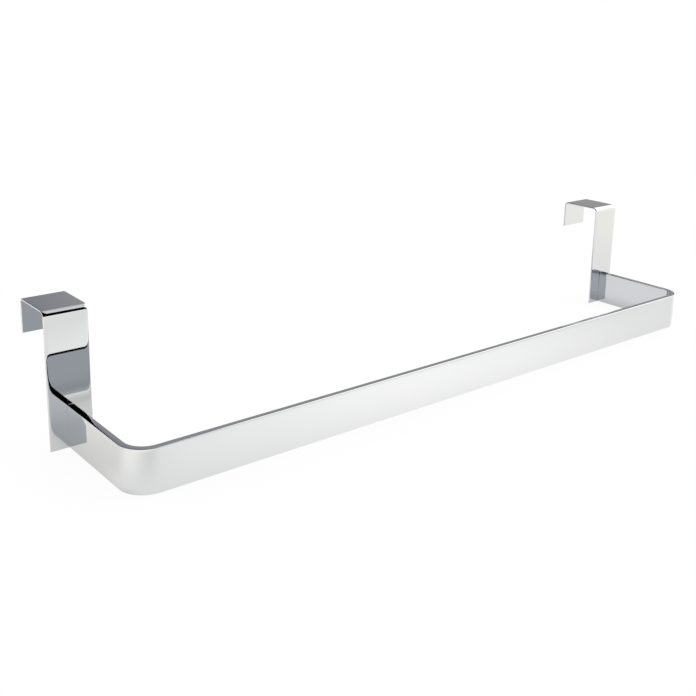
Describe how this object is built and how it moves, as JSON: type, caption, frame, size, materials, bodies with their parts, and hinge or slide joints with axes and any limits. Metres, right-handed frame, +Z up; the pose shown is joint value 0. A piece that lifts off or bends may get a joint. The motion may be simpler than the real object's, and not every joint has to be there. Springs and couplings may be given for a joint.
{
  "type": "over-door towel bar",
  "caption": "Over-door towel bar: a chromed flat bar bent to a U, its arms joined square to hooks of thin strip that hang over the top edge of a door.",
  "frame": {"origin": "midway between the hooks, on the line where the door's front face meets its top edge: the inner face of the front legs and the underside of the hook tops", "axes": "+X along the bar to the right as seen from the front, +Y back over the door, +Z up"},
  "size_m": [0.581, 0.1295, 0.0955],
  "materials": {
    "chrome": "bright chrome plate on polished steel, mirror smooth"
  },
  "bodies": {
    "root": {"towel_bar": "chrome", "left_hook": "chrome", "right_hook": "chrome"}
  },
  "joints": []
}
